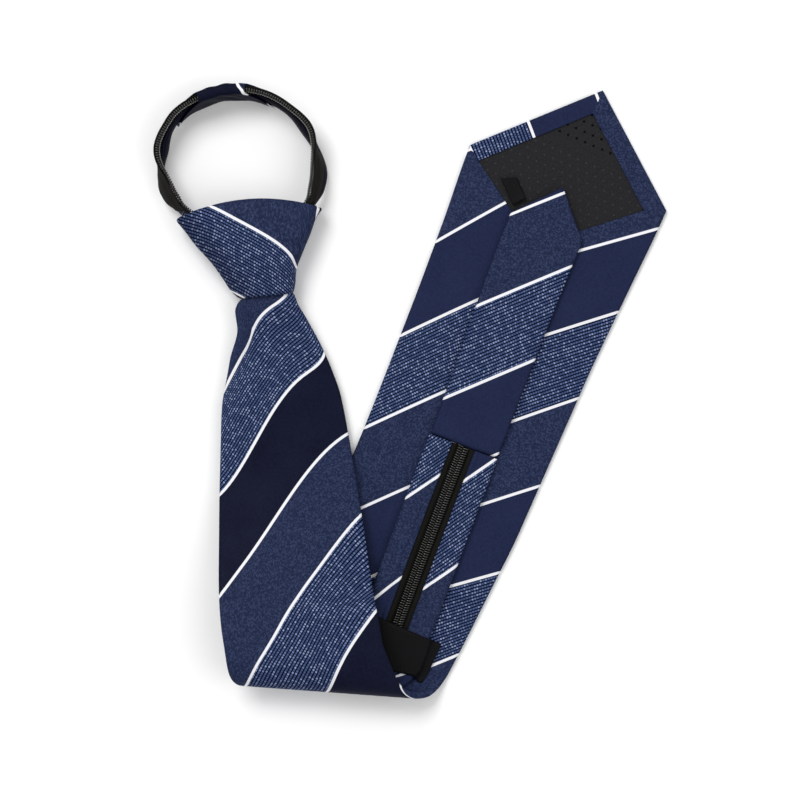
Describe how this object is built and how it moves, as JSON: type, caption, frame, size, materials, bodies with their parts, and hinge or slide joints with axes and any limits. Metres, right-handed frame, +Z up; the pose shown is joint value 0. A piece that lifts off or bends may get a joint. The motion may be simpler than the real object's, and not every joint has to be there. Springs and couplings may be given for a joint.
{
  "type": "zipper tie",
  "caption": "Pre-tied necktie with a zip neck loop, lying with its striped front blade folded under.",
  "frame": {"origin": "centre of the footprint, on the surface that the tie lies on", "axes": "+X to the viewer's right, +Y up the page towards the neck loop, +Z up from the surface"},
  "size_m": [0.2054, 0.2454, 0.0216],
  "materials": {
    "stripe_cloth": "woven navy with ribbed, satin and speckled bands between thin white lines",
    "black_lining": "charcoal lining with small woven dots",
    "black_satin": "black woven satin",
    "zip_tape": "black knitted tape",
    "zip_nylon": "black nylon coil, semi-gloss",
    "slider_metal": "black enamel"
  },
  "bodies": {
    "root": {"front_blade": "stripe_cloth", "blade_tipping": "black_lining", "knot_wrap": "stripe_cloth", "tail_blade": "stripe_cloth", "keeper_label": "black_satin", "care_tag": "black_satin", "strip_left": "stripe_cloth", "strip_right": "stripe_cloth", "tape_left": "zip_tape", "tape_right": "zip_tape", "coil_left": "zip_nylon", "coil_right": "zip_nylon", "neck_sleeve": "stripe_cloth", "zip_slider": "slider_metal"}
  },
  "joints": []
}
